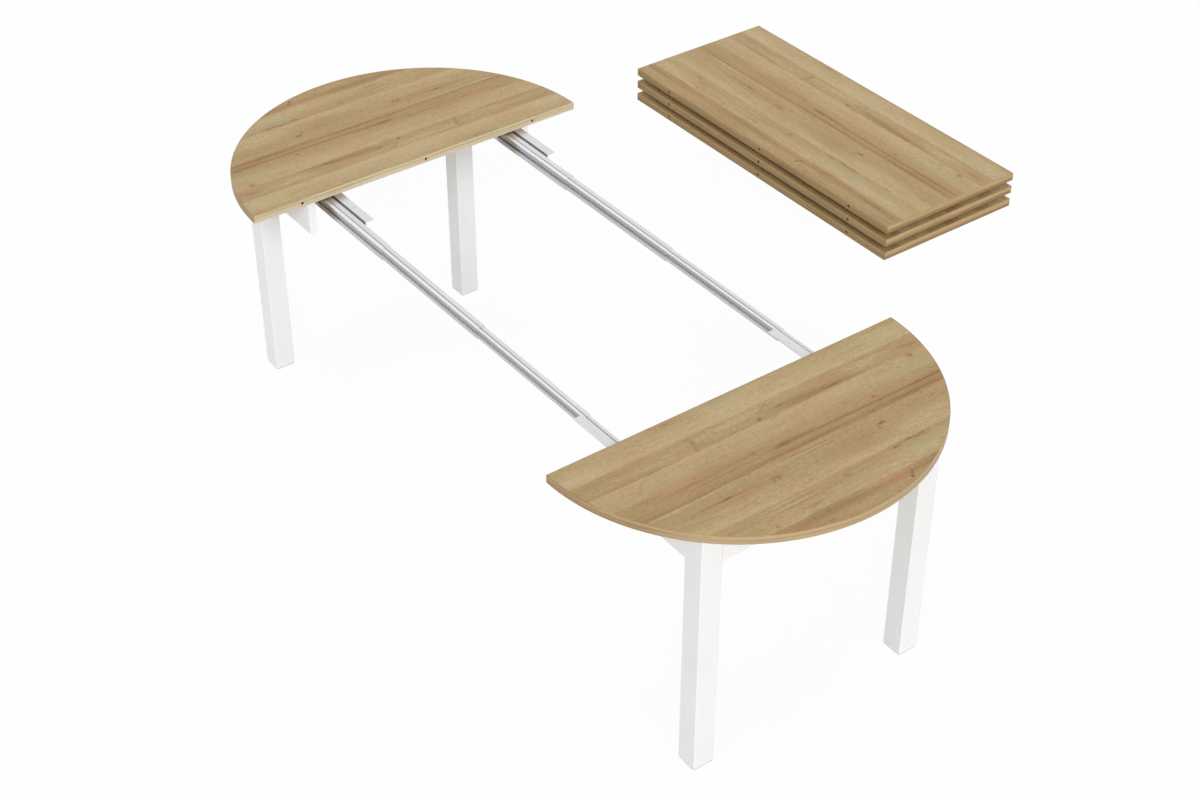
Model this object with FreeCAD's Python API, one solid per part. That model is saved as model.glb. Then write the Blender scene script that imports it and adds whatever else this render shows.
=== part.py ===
import FreeCAD, Part
import math
import os

# Round extending table, drawn fully apart, with its loose leaves stacked beside it.
# Millimetres. +Z is up, X is the direction in which the two halves slide apart, and Y runs
# along the seam. The far half stays at -X and the near half travels along X.

Vector = FreeCAD.Vector
along_x = Vector(1, 0, 0)
along_y = Vector(0, 1, 0)
along_z = Vector(0, 0, 1)

# ---- driving dimensions ------------------------------------------------------------------

# tabletop and leaves
top_diameter = 1050.0
table_height = 754.0
board_thickness = 22.0
leaf_width = 450.0
leaf_count = 3
edging_thickness = 2.0
edging_round = 0.8

# legs, pads and aprons
leg_side = 60.0
leg_round = 2.0
corner_overhang = 12.0      # from a leg's outer corner to the rim of the top
pad_margin = 1.0
pad_thickness = 3.0
pad_round = 3.0
apron_thickness = 22.0
apron_height = 95.0
apron_round = 1.5

# telescopic runners: nested channels, mouths facing -Y
member_count = 4
rail_width = 28.0           # outermost channel
rail_height = 36.0
rail_wall = 1.5
rail_clearance = 0.3
rail_round = 1.0
rail_end_gap = 4.0          # from a channel's end to the legs, with the table closed
mouth_height = 10.0
groove_width = 3.6
groove_depth = 0.8
groove_shift = -2.3         # from the runner's centre line
plate_thickness = 3.0       # screw plates under the boards
far_plate_gap = 1.5         # from the right runner's plate to the apron
near_plate_gap = 3.5        # from the left runner's plate to the apron
plate_rail_gap = 1.5
far_plate_width = 25.0
far_plate_reach = 165.0     # past the seam, under the first leaf
far_slot = 4.5
bridge_thickness = 2.0
near_plate_inset = 12.0     # from the runner's centre line
near_plate_width = 25.5
near_plate_reach = 155.0
tongue_thickness = 4.0
riser_thickness = 2.0
riser_gap = 1.0

# stop pins in the grooves
pin_radius = 1.2
pin_inset = 6.0
pin_engagement = 0.5

# dowels between the boards
dowel_radius = 4.0
dowel_length = 26.0
dowel_reach = 7.0
dowel_spread = 378.0
dowel_offset = 17.0         # the middle dowel is off centre, so a leaf fits one way only
dowel_end_gap = 2.0
dowel_chamfer = 0.8
hole_clearance = 0.3
fit_clearance = 0.05

# screws
shank_radius = 2.0
head_radius = 3.9
head_height = 2.4
head_round = 0.8
recess_length = 4.4         # cross recess in the head
recess_width = 1.0
recess_depth = 1.4
tip_length = 4.0
tip_radius = 0.4
plate_screw_length = 16.0
plate_screw_margin = 24.0
plate_screw_count = 4
spare_hole_distance = 85.0
apron_screw_length = 40.0
apron_screw_bite = 15.0
apron_screw_margin = 60.0
bore_radius = 5.0

# corner brackets and hanger bolts
bracket_height = 40.0
bracket_thickness = 2.5
bracket_flange = 30.0
bracket_setback = 60.0      # from the leg to the bend, along each apron
bracket_rail_gap = 8.0
bracket_screw_spread = 20.0
bracket_screw_length = 18.0
bolt_radius = 4.0
bolt_bite = 45.0
bolt_tail = 4.0
washer_radius = 8.0
washer_thickness = 1.6
nut_flats = 13.0
nut_height = 6.5

# place of the loose leaves beside the table
stack_gap = 143.0           # from the rim of the top to the leaves
stack_shift = -33.0
stack_height = 769.0        # underside of the lowest leaf
stack_pitch = 39.5

# ---- derived sizes -----------------------------------------------------------------------

top_radius = top_diameter / 2
underside = table_height - board_thickness
opening = leaf_count * leaf_width

leg_outer = (top_radius - corner_overhang) / math.sqrt(2)
leg_inner = leg_outer - leg_side
apron_inner = leg_outer - apron_thickness
apron_bottom = underside - apron_height

rail_length = 2 * (leg_inner - rail_end_gap)
rail_travel = opening / (member_count - 1)
rail_step = rail_wall + rail_clearance
rail_top = underside - plate_thickness - plate_rail_gap
rail_middle = rail_top - rail_height / 2
rail_bottom = rail_top - rail_height
far_plate_start = rail_width / 2 + far_slot
right_rail_axis = apron_inner - far_plate_gap - far_plate_start - far_plate_width
near_riser = -rail_width / 2 - riser_gap
near_plate_outer = -near_plate_inset - near_plate_width
left_rail_axis = -apron_inner + near_plate_gap - near_plate_outer
plate_bottom = underside - plate_thickness

dowel_spots = (-dowel_spread, dowel_offset, dowel_spread)
hole_radius = dowel_radius + hole_clearance
hole_depth = dowel_reach + dowel_end_gap
socket_radius = dowel_radius + fit_clearance
socket_depth = dowel_length - dowel_reach

bracket_top = rail_bottom - bracket_rail_gap
bracket_bottom = bracket_top - bracket_height
bracket_middle = (bracket_top + bracket_bottom) / 2
bend = leg_inner - bracket_setback
plate_line = (bend + apron_inner) / math.sqrt(2)
bolt_start = plate_line - bracket_thickness - washer_thickness - nut_height - bolt_tail
bolt_end = leg_inner * math.sqrt(2) + bolt_bite

frame_shift = (stack_gap + leaf_width + dowel_reach) / 2

pieces = {}


# ---- shapes ------------------------------------------------------------------------------

def block(x0, x1, y0, y1, z0, z1):
    """Box between two corners."""
    return Part.makeBox(x1 - x0, y1 - y0, z1 - z0, Vector(x0, y0, z0))


def rod(start, direction, radius, length):
    """Cylinder from a point along a direction."""
    return Part.makeCylinder(radius, length, start, direction)


def round_edges(shape, radius, wanted):
    """Fillet the edges for which wanted(edge) is true."""
    edges = [edge for edge in shape.Edges if wanted(edge)]
    return shape.makeFillet(radius, edges)


def runs_along(edge, axis):
    """True for a straight edge parallel to an axis."""
    if len(edge.Vertexes) != 2:
        return False
    step = edge.Vertexes[1].Point - edge.Vertexes[0].Point
    return step.Length > 0 and abs(abs(step.dot(axis)) - step.Length) < 1e-6


def prism_x(points, x0, x1):
    """Solid with a (y, z) outline, from x0 to x1."""
    wire = Part.makePolygon([Vector(x0, y, z) for y, z in points + points[:1]])
    return Part.Face(wire).extrude(Vector(x1 - x0, 0, 0))


def prism_z(points, z0, z1):
    """Solid with an (x, y) outline, from z0 to z1."""
    wire = Part.makePolygon([Vector(x, y, z0) for x, y in points + points[:1]])
    return Part.Face(wire).extrude(Vector(0, 0, z1 - z0))


def placed(shape, start, direction):
    """Turn a shape built along +Z to a direction and put its origin at a point."""
    shape.Placement = FreeCAD.Placement(start, FreeCAD.Rotation(along_z, direction))
    return shape


def screw(seat, direction, length):
    """Pan-head wood screw: the head lies before the seat, the shank goes on past it."""
    origin = Vector(0, 0, 0)
    top = Vector(0, 0, -head_height)
    head = rod(top, along_z, head_radius, head_height)
    head = round_edges(head, head_round, lambda edge: abs(edge.BoundBox.ZMax + head_height) < 1e-6)
    body = rod(origin, along_z, shank_radius, length - tip_length)
    tip = Part.makeCone(shank_radius, tip_radius, tip_length,
                        Vector(0, 0, length - tip_length), along_z)
    half_arm = recess_length / 2
    half_slot = recess_width / 2
    floor = recess_depth - head_height
    cross = block(-half_arm, half_arm, -half_slot, half_slot, -head_height, floor).fuse(
        block(-half_slot, half_slot, -half_arm, half_arm, -head_height, floor))
    whole = head.fuse([body, tip]).removeSplitter().cut(cross)
    return placed(whole, seat, direction)


def dowel(start, direction):
    """Wooden dowel with chamfered ends."""
    peg = rod(Vector(0, 0, 0), along_z, dowel_radius, dowel_length)
    rims = [edge for edge in peg.Edges if isinstance(edge.Curve, Part.Circle)]
    return placed(peg.makeChamfer(dowel_chamfer, rims), start, direction)


def screw_hole(seat, direction, length, radius):
    """Hole for a screw's shank, from its seat on."""
    return rod(seat, direction, radius, length)


def flipped(shape, axis):
    """Mirror image across the plane through the origin, square to an axis."""
    return shape.mirror(Vector(0, 0, 0), axis)


def group(solids):
    """Several separate solids kept in one node."""
    return solids[0] if len(solids) == 1 else Part.makeCompound(solids)


# ---- places that several pieces share ----------------------------------------------------

def plate_screw_places():
    """Distances from the seam of the screws in a runner's plate."""
    first = plate_screw_margin
    last = rail_length / 2 - plate_screw_margin
    step = (last - first) / (plate_screw_count - 1)
    return [first + step * index for index in range(plate_screw_count)]


def apron_screw_places():
    """(x, y) of the vertical screws through the aprons, from the middle of the seam."""
    line = (apron_inner + leg_outer) / 2
    reach = leg_inner - apron_screw_margin
    places = []
    for side in (-1, 1):
        places.append((apron_screw_margin, side * line))
        places.append((reach, side * line))
        places.append((line, side * reach))
    return places


def rail_centres():
    """Y of the left and right runner."""
    return {"left": left_rail_axis, "right": right_rail_axis}


# ---- half-round tops ---------------------------------------------------------------------

def seam_holes(radius, depth):
    """Holes into a half's seam, square to it."""
    height = underside + board_thickness / 2
    return [rod(Vector(0, spot, height), along_x, radius, depth) for spot in dowel_spots]


def half_board(radius, depth, plate_middle):
    """Board of a half, seam at x = 0, with its dowel holes and pilot holes from below."""
    disc = rod(Vector(0, 0, underside), along_z, top_radius - edging_thickness, board_thickness)
    board = disc.common(block(edging_thickness, top_radius, -top_radius, top_radius,
                              underside, table_height))
    holes = seam_holes(radius, depth)
    pilot = shank_radius + fit_clearance
    plate_bite = plate_screw_length - plate_thickness
    for centre in rail_centres().values():
        for distance in plate_screw_places():
            place = Vector(distance, centre + plate_middle, underside)
            holes.append(screw_hole(place, along_z, plate_bite + fit_clearance, pilot))
    for x, y in apron_screw_places():
        holes.append(screw_hole(Vector(x, y, underside), along_z,
                                apron_screw_bite + fit_clearance, pilot))
    return board.cut(Part.makeCompound(holes))


def curved_edging():
    """Strip round the rim of a half."""
    base = Vector(0, 0, underside)
    rim = rod(base, along_z, top_radius, board_thickness)
    ring = rim.cut(rod(base, along_z, top_radius - edging_thickness, board_thickness))
    half = ring.common(block(edging_thickness, top_radius, -top_radius, top_radius,
                             underside, table_height))

    def outer_arc(edge):
        curve = edge.Curve
        return isinstance(curve, Part.Circle) and abs(curve.Radius - top_radius) < 1e-6

    return round_edges(half, edging_round, outer_arc)


def seam_edging(radius, depth):
    """Straight strip along the seam of a half."""
    reach = math.sqrt(top_radius ** 2 - edging_thickness ** 2)
    strip = block(0, edging_thickness, -reach, reach, underside, table_height)

    def seam_edge(edge):
        return runs_along(edge, along_y) and abs(edge.Vertexes[0].X) < 1e-6

    return round_edges(strip, edging_round, seam_edge).cut(
        Part.makeCompound(seam_holes(radius, depth)))


# ---- legs, pads and aprons ---------------------------------------------------------------

def leg():
    """Square leg at +Y, with the hole for its hanger bolt in the inner corner."""
    post = block(leg_inner, leg_outer, leg_inner, leg_outer, pad_thickness, underside)
    post = round_edges(post, leg_round, lambda edge: runs_along(edge, along_z))
    diagonal = Vector(1, 1, 0).normalize()
    start = diagonal * bolt_start + Vector(0, 0, bracket_middle)
    return post.cut(rod(start, diagonal, bolt_radius + fit_clearance, bolt_end - bolt_start))


def foot_pad():
    """Felt pad under the leg at +Y."""
    low = leg_inner + pad_margin
    high = leg_outer - pad_margin
    pad = block(low, high, low, high, 0, pad_thickness)
    return round_edges(pad, pad_round, lambda edge: runs_along(edge, along_z))


def apron_with_holes(board, axis):
    """Round an apron's lower long edges and drill the holes of its vertical screws."""
    def lower_edge(edge):
        return runs_along(edge, axis) and abs(edge.Vertexes[0].Z - apron_bottom) < 1e-6

    board = round_edges(board, apron_round, lower_edge)
    seat = underside - (apron_screw_length - apron_screw_bite)
    holes = []
    for x, y in apron_screw_places():
        holes.append(screw_hole(Vector(x, y, seat), along_z, underside - seat,
                                shank_radius + hole_clearance))
        holes.append(rod(Vector(x, y, apron_bottom), along_z, bore_radius,
                         seat - apron_bottom))
    for place, direction in bracket_screw_seats():
        holes.append(screw_hole(place, direction, bracket_screw_length + fit_clearance,
                                shank_radius + fit_clearance))
        mirrored = Vector(place.x, -place.y, place.z)
        turned = Vector(direction.x, -direction.y, direction.z)
        holes.append(screw_hole(mirrored, turned, bracket_screw_length + fit_clearance,
                                shank_radius + fit_clearance))
    return board.cut(Part.makeCompound(holes))


def side_apron():
    """Apron at +Y, from the seam to the leg."""
    board = block(0, leg_inner, apron_inner, leg_outer, apron_bottom, underside)
    return apron_with_holes(board, along_x)


def end_apron():
    """Apron between the two legs of a half."""
    board = block(apron_inner, leg_outer, -leg_inner, leg_inner, apron_bottom, underside)
    return apron_with_holes(board, along_y)


def apron_screws():
    """Vertical screws through the aprons of a half into its board."""
    seat = underside - (apron_screw_length - apron_screw_bite)
    return [screw(Vector(x, y, seat), along_z, apron_screw_length)
            for x, y in apron_screw_places()]


# ---- corner brackets ---------------------------------------------------------------------

def bracket_screw_seats():
    """Seat and direction of the screws through the bracket at +Y."""
    flange_middle = bend - bracket_flange / 2
    face = apron_inner - bracket_thickness
    seats = []
    for lift in (-bracket_screw_spread / 2, bracket_screw_spread / 2):
        height = bracket_middle + lift
        seats.append((Vector(flange_middle, face, height), along_y))
        seats.append((Vector(face, flange_middle, height), along_x))
    return seats


def corner_bracket():
    """Folded steel bracket across the corner at +Y, screwed to both aprons."""
    turn = bracket_thickness * (math.sqrt(2) - 1)
    face = apron_inner - bracket_thickness
    outline = [(bend - bracket_flange, apron_inner), (bend, apron_inner),
               (apron_inner, bend), (apron_inner, bend - bracket_flange),
               (face, bend - bracket_flange), (face, bend - turn),
               (bend - turn, face), (bend - bracket_flange, face)]
    bracket = prism_z(outline, bracket_bottom, bracket_top)
    diagonal = Vector(1, 1, 0).normalize()
    start = diagonal * bolt_start + Vector(0, 0, bracket_middle)
    holes = [rod(start, diagonal, bolt_radius + hole_clearance, bolt_end - bolt_start)]
    for place, direction in bracket_screw_seats():
        holes.append(screw_hole(place, direction, bracket_thickness,
                                shank_radius + hole_clearance))
    return bracket.cut(Part.makeCompound(holes))


def bracket_screws():
    """Screws of the bracket at +Y."""
    return [screw(place, direction, bracket_screw_length)
            for place, direction in bracket_screw_seats()]


def hanger_bolt():
    """Bolt from the bracket into the leg's inner corner."""
    diagonal = Vector(1, 1, 0).normalize()
    start = diagonal * bolt_start + Vector(0, 0, bracket_middle)
    return rod(start, diagonal, bolt_radius, bolt_end - bolt_start)


def bolt_nut():
    """Washer and hexagon nut on the hanger bolt, as one flanged nut."""
    diagonal = Vector(1, 1, 0).normalize()
    bore = bolt_radius + fit_clearance
    washer_seat = plate_line - bracket_thickness - washer_thickness
    corner = nut_flats / math.sqrt(3)
    corners = [(corner * math.cos(math.radians(60 * index)),
                corner * math.sin(math.radians(60 * index))) for index in range(6)]
    nut = prism_z(corners, -nut_height, 0)
    washer = rod(Vector(0, 0, 0), along_z, washer_radius, washer_thickness)
    hole = rod(Vector(0, 0, -nut_height), along_z, bore, nut_height + washer_thickness)
    nut = nut.fuse(washer).removeSplitter().cut(hole)
    return placed(nut, diagonal * washer_seat + Vector(0, 0, bracket_middle), diagonal)


# ---- telescopic runners ------------------------------------------------------------------

def member_half_width(index):
    """Half the outer width of the runner's channel number index, 0 being the outermost."""
    return rail_width / 2 - rail_step * index


def member_top(index):
    """Top of channel number index."""
    return rail_top - rail_step * index


def member_bottom(index):
    """Underside of channel number index."""
    return rail_bottom + rail_step * index


def member_start(index):
    """X of the far end of channel number index, with the table open."""
    return -opening / 2 - rail_length / 2 + rail_travel * index


def channel(index):
    """Channel with its mouth at -Y, before its plate, groove and pin hole."""
    half = member_half_width(index)
    top = member_top(index)
    bottom = member_bottom(index)
    upper_lip = rail_middle + mouth_height / 2
    lower_lip = rail_middle - mouth_height / 2
    inner = half - rail_wall
    outline = [(-half, upper_lip), (-half, top), (half, top), (half, bottom),
               (-half, bottom), (-half, lower_lip), (-inner, lower_lip),
               (-inner, bottom + rail_wall), (inner, bottom + rail_wall),
               (inner, top - rail_wall), (-inner, top - rail_wall), (-inner, upper_lip)]
    return prism_x(outline, 0, rail_length)


def solid_bar(index):
    """Innermost member, a solid bar."""
    half = member_half_width(index)
    return block(0, rail_length, -half, half, member_bottom(index), member_top(index))


def rounded_member(shape, index):
    """Round the four long outer edges of a member."""
    half = member_half_width(index)
    corners = [(side * half, height) for side in (-1, 1)
               for height in (member_bottom(index), member_top(index))]

    def outer_edge(edge):
        if not runs_along(edge, along_x):
            return False
        point = edge.Vertexes[0].Point
        return any(abs(point.y - y) < 1e-6 and abs(point.z - z) < 1e-6 for y, z in corners)

    return round_edges(shape, rail_round, outer_edge)


def groove(index, start):
    """Groove along a member's top, from start to its near end."""
    top = member_top(index)
    return block(start, rail_length, groove_shift - groove_width / 2,
                 groove_shift + groove_width / 2, top - groove_depth, top)


def groove_start(index):
    """Where the groove begins: the stop pin of the channel outside meets its end when open."""
    if index == 0:
        return 0.0
    overlap = rail_length - rail_travel
    return overlap - pin_inset - pin_radius - rail_clearance


def pin_place(index):
    """Top of the stop pin in channel number index."""
    return Vector(rail_length - pin_inset, groove_shift, member_top(index) - groove_depth)


def pin_length():
    """From the groove's floor, through the wall and into the next member's groove."""
    return rail_wall - groove_depth + rail_clearance + pin_engagement


def far_plate():
    """Screw plate on the +Y side of the outermost channel, with its riser and bridge."""
    start = far_plate_start
    length = rail_length / 2 + far_plate_reach
    bridge = block(0, length, rail_width / 2 - rail_wall / 2, start + riser_thickness,
                   rail_middle - bridge_thickness, rail_middle)
    riser = block(0, length, start, start + riser_thickness,
                  rail_middle - bridge_thickness, underside)
    plate = block(0, length, start, start + far_plate_width, plate_bottom, underside)
    return bridge.fuse([riser, plate])


def near_plate(index):
    """Screw plate on the -Y side of the innermost member, joined through the mouths."""
    start = rail_length / 2 - near_plate_reach
    half = member_half_width(index)
    outer = near_riser - riser_thickness
    tongue = block(start, rail_length, outer, -half + rail_wall / 2,
                   rail_middle - tongue_thickness / 2, rail_middle + tongue_thickness / 2)
    riser = block(start, rail_length, outer, near_riser,
                  rail_middle - tongue_thickness / 2, underside)
    plate = block(start, rail_length, near_plate_outer, -near_plate_inset,
                  plate_bottom, underside)
    return tongue.fuse([riser, plate])


def plate_middle(name):
    """Y of the screw line in a plate, from the runner's centre."""
    if name == "far":
        return far_plate_start + riser_thickness + (far_plate_width - riser_thickness) / 2
    return (near_riser - riser_thickness + near_plate_outer) / 2


def plate_holes(name):
    """Screw holes of a plate and one spare hole in the part past the seam."""
    inward = -1 if name == "far" else 1
    distances = [inward * distance for distance in plate_screw_places()]
    distances.append(-inward * spare_hole_distance)
    holes = []
    for distance in distances:
        place = Vector(rail_length / 2 + distance, plate_middle(name), plate_bottom)
        holes.append(screw_hole(place, along_z, plate_thickness,
                                shank_radius + hole_clearance))
    return holes


def member(index):
    """Member number index of a runner, starting at x = 0, centred on y = 0."""
    last = index == member_count - 1
    shape = rounded_member(solid_bar(index) if last else channel(index), index)
    if index == 0:
        shape = shape.fuse(far_plate()).removeSplitter()
        shape = shape.cut(Part.makeCompound(plate_holes("far")))
    if last:
        shape = shape.fuse(near_plate(index)).removeSplitter()
        shape = shape.cut(Part.makeCompound(plate_holes("near")))
    shape = shape.cut(groove(index, groove_start(index)))
    if not last:
        top = pin_place(index)
        shape = shape.cut(rod(top, -along_z, pin_radius + fit_clearance, rail_step))
    return shape


def stop_pin(index):
    """Stop pin of channel number index."""
    return rod(pin_place(index), -along_z, pin_radius, pin_length())


def plate_screws(name, seam):
    """Screws through a runner's plate into the board, for both runners of a half."""
    inward = -1 if name == "far" else 1
    screws = []
    for centre in rail_centres().values():
        for distance in plate_screw_places():
            seat = Vector(seam + inward * distance, centre + plate_middle(name), plate_bottom)
            screws.append(screw(seat, along_z, plate_screw_length))
    return screws


# ---- loose leaves ------------------------------------------------------------------------

def leaf_holes():
    """Holes of a leaf: open ones at -Y and glued dowel sockets at +Y."""
    height = board_thickness / 2
    edge = leaf_width / 2
    holes = []
    for spot in dowel_spots:
        holes.append(rod(Vector(spot, -edge, height), along_y, hole_radius, hole_depth))
        holes.append(rod(Vector(spot, edge, height), -along_y, socket_radius, socket_depth))
    return Part.makeCompound(holes)


def leaf_board():
    """Board of a leaf, centred, standing on z = 0."""
    long_half = top_radius - edging_thickness
    wide_half = leaf_width / 2 - edging_thickness
    board = block(-long_half, long_half, -wide_half, wide_half, 0, board_thickness)
    return board.cut(leaf_holes())


def leaf_long_edging():
    """Strip along the -Y side of a leaf."""
    edge = -leaf_width / 2
    strip = block(-top_radius, top_radius, edge, edge + edging_thickness, 0, board_thickness)

    def outer_edge(line):
        return runs_along(line, along_x) and abs(line.Vertexes[0].Y - edge) < 1e-6

    return round_edges(strip, edging_round, outer_edge)


def leaf_end_edging():
    """Strip across the +X end of a leaf, between the long ones."""
    wide_half = leaf_width / 2 - edging_thickness
    strip = block(top_radius - edging_thickness, top_radius, -wide_half, wide_half,
                  0, board_thickness)

    def outer_edge(line):
        return runs_along(line, along_y) and abs(line.Vertexes[0].X - top_radius) < 1e-6

    return round_edges(strip, edging_round, outer_edge)


def leaf_dowels():
    """Dowels glued into the +Y side of a leaf."""
    start = leaf_width / 2 - socket_depth
    return [dowel(Vector(spot, start, board_thickness / 2), along_y) for spot in dowel_spots]


# ---- assembly ----------------------------------------------------------------------------

def add(name, solids, place):
    """Put a node at its place in the table, then into the table's own frame."""
    shape = group(solids)
    shape.translate(place - Vector(0, frame_shift, 0))
    pieces[name] = shape


def both_sides(shape):
    """A piece at +Y and its mirror image at -Y."""
    return {"right": shape, "left": flipped(shape, along_y)}


def add_half(name):
    """Top, legs, aprons and hardware of one half."""
    far = name == "far"
    seam = Vector(-opening / 2 if far else opening / 2, 0, 0)
    radius = hole_radius if far else socket_radius
    depth = hole_depth if far else socket_depth

    def turned(shape):
        return flipped(shape, along_x) if far else shape

    add(name + "_top_board", [turned(half_board(radius, depth, plate_middle(name)))], seam)
    add(name + "_curved_edging", [turned(curved_edging())], seam)
    add(name + "_seam_edging", [turned(seam_edging(radius, depth))], seam)
    add(name + "_end_apron", [turned(end_apron())], seam)
    for side, shape in both_sides(leg()).items():
        add(name + "_leg_" + side, [turned(shape)], seam)
    for side, shape in both_sides(side_apron()).items():
        add(name + "_side_apron_" + side, [turned(shape)], seam)
    for side, shape in both_sides(corner_bracket()).items():
        add(name + "_corner_bracket_" + side, [turned(shape)], seam)
    pads = [turned(shape) for shape in both_sides(foot_pad()).values()]
    add(name + "_foot_pads", pads, seam)
    bolts = [turned(shape) for shape in both_sides(hanger_bolt()).values()]
    add(name + "_hanger_bolts", bolts, seam)
    nuts = [turned(shape) for shape in both_sides(bolt_nut()).values()]
    add(name + "_bolt_nuts", nuts, seam)
    screws = [turned(shape) for shape in apron_screws()]
    for bracket_screw in bracket_screws():
        screws += [turned(shape) for shape in both_sides(bracket_screw).values()]
    add(name + "_frame_screws", screws, seam)
    add(name + "_rail_screws", plate_screws(name, seam.x), Vector(0, 0, 0))


def add_dowels():
    """Dowels glued into the near seam."""
    start = opening / 2 - dowel_reach
    height = underside + board_thickness / 2
    dowels = [dowel(Vector(start, spot, height), along_x) for spot in dowel_spots]
    add("near_seam_dowels", dowels, Vector(0, 0, 0))


def add_runners():
    """Both runners, drawn fully apart, and their stop pins."""
    names = ("far_rail", "first_slide", "second_slide", "near_rail")
    far_pins = []
    for side, centre in rail_centres().items():
        for index in range(member_count):
            place = Vector(member_start(index), centre, 0)
            add(names[index] + "_" + side, [member(index)], place)
            if index == 0:
                pin = stop_pin(index)
                pin.translate(place)
                far_pins.append(pin)
            elif index < member_count - 1:
                add(names[index] + "_stop_" + side, [stop_pin(index)], place)
    add("far_rail_stops", far_pins, Vector(0, 0, 0))


def add_leaves():
    """Loose leaves stacked beside the table, turned a quarter from their place in it."""
    middle = top_radius + stack_gap + leaf_width / 2
    for index in range(leaf_count):
        name = "leaf_" + str(index + 1)
        place = Vector(stack_shift, middle, stack_height + stack_pitch * index)
        long_edging = leaf_long_edging()
        strips = [shape.cut(leaf_holes()) for shape in both_sides(long_edging).values()]
        end_edging = leaf_end_edging()
        add(name + "_board", [leaf_board()], place)
        add(name + "_long_edgings", strips, place)
        add(name + "_end_edgings", [end_edging, flipped(end_edging, along_x)], place)
        add(name + "_dowels", leaf_dowels(), place)


add_half("far")
add_half("near")
add_dowels()
add_runners()
add_leaves()

os.makedirs("parts", exist_ok=True)
for name, shape in pieces.items():
    shape.exportStep("parts/" + name + ".step")
print(len(pieces), "nodes")
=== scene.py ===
import math

import bpy
import numpy as np
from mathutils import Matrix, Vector


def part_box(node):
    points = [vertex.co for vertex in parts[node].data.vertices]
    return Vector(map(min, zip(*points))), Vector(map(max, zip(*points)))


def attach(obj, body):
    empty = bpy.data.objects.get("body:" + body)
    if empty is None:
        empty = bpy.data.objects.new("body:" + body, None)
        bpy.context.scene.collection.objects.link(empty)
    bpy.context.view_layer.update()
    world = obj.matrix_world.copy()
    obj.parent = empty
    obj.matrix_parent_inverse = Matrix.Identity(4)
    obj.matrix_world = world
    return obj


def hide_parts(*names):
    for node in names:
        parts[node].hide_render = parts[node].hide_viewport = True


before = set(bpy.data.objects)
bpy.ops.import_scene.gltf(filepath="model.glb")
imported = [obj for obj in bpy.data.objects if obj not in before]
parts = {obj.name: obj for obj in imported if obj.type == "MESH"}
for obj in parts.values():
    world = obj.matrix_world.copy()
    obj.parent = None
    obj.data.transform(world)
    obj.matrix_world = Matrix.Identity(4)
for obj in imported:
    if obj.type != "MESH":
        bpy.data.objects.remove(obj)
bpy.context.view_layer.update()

print("frame loaded:", len(parts), "parts")


# shader maths
def tone(red, green, blue):  # screen colour 0 to 255 into the linear colour that a shader takes
    steps = np.array([red, green, blue]) / 255
    linear = np.where(steps <= 0.04045, steps / 12.92, ((steps + 0.055) / 1.055) ** 2.4)
    return (*linear.tolist(), 1.0)


class Wire:  # an output socket that takes part in sums
    def __init__(self, sheet, socket):
        self.sheet = sheet
        self.socket = socket

    def __add__(self, other):
        return self.sheet.maths("ADD", self, other)

    def __radd__(self, other):
        return self.sheet.maths("ADD", other, self)

    def __sub__(self, other):
        return self.sheet.maths("SUBTRACT", self, other)

    def __rsub__(self, other):
        return self.sheet.maths("SUBTRACT", other, self)

    def __mul__(self, other):
        return self.sheet.maths("MULTIPLY", self, other)

    def __rmul__(self, other):
        return self.sheet.maths("MULTIPLY", other, self)

    def __abs__(self):
        return self.sheet.maths("ABSOLUTE", self)


class NodeSheet:  # a node tree with one method that adds any node
    def __init__(self, tree):
        self.tree = tree
        tree.nodes.clear()

    def node(self, kind, settings, sockets, output=0):
        made = self.tree.nodes.new("ShaderNode" + kind)
        for key, value in settings.items():
            if key == "stops":
                fillRamp(made.color_ramp, value)
            else:
                setattr(made, key, value)
        for key, value in sockets.items():
            if isinstance(value, Wire):
                self.tree.links.new(value.socket, made.inputs[key])
            else:
                made.inputs[key].default_value = value
        return Wire(self, made.outputs[output]) if made.outputs else made

    def maths(self, operation, first, second=0.0):
        return self.node("Math", {"operation": operation}, {0: first, 1: second})

    def place(self):
        return self.node("TexCoord", {}, {}, "Object")

    def split(self, vector):
        made = self.node("SeparateXYZ", {}, {0: vector}).socket.node
        return [Wire(self, made.outputs[index]) for index in range(3)]

    def join(self, x, y, z=0.0):
        return self.node("CombineXYZ", {}, {0: x, 1: y, 2: z})

    def stretch(self, vector, scale, shift=(0.0, 0.0, 0.0)):
        return self.node("VectorMath", {"operation": "MULTIPLY_ADD"}, {0: vector, 1: scale, 2: shift})

    def length(self, vector):
        return self.node("VectorMath", {"operation": "LENGTH"}, {0: vector}, "Value")

    def noise(self, vector, detail=2.0, roughness=0.5):
        sockets = {"Vector": vector, "Scale": 1.0, "Detail": detail, "Roughness": roughness}
        return self.node("TexNoise", {}, sockets)

    def fade(self, value, start, end, low=0.0, high=1.0):
        # smooth step from low at start to high at end
        sockets = {0: value, 1: start, 2: end, 3: low, 4: high}
        return self.node("MapRange", {"interpolation_type": "SMOOTHSTEP"}, sockets)

    def ramp(self, value, stops):
        return self.node("ValToRGB", {"stops": stops}, {0: value})

    def mix(self, factor, first, second, blend="MIX"):
        settings = {"data_type": "RGBA", "blend_type": blend}
        return self.node("Mix", settings, {0: factor, 6: first, 7: second}, 2)

    def bump(self, height, strength, distance):
        return self.node("Bump", {}, {"Strength": strength, "Distance": distance, "Height": height})

    def shader(self, sockets):
        surface = self.node("BsdfPrincipled", {}, sockets)
        self.node("OutputMaterial", {}, {"Surface": surface})


def fillRamp(ramp, stops):
    while len(ramp.elements) < len(stops):
        ramp.elements.new(1.0)
    for element, (position, colour) in zip(ramp.elements, stops):
        element.position = position
        element.color = colour


def newFinish(name):
    material = bpy.data.materials.new(name)
    material.use_nodes = True
    return material, NodeSheet(material.node_tree)


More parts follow.
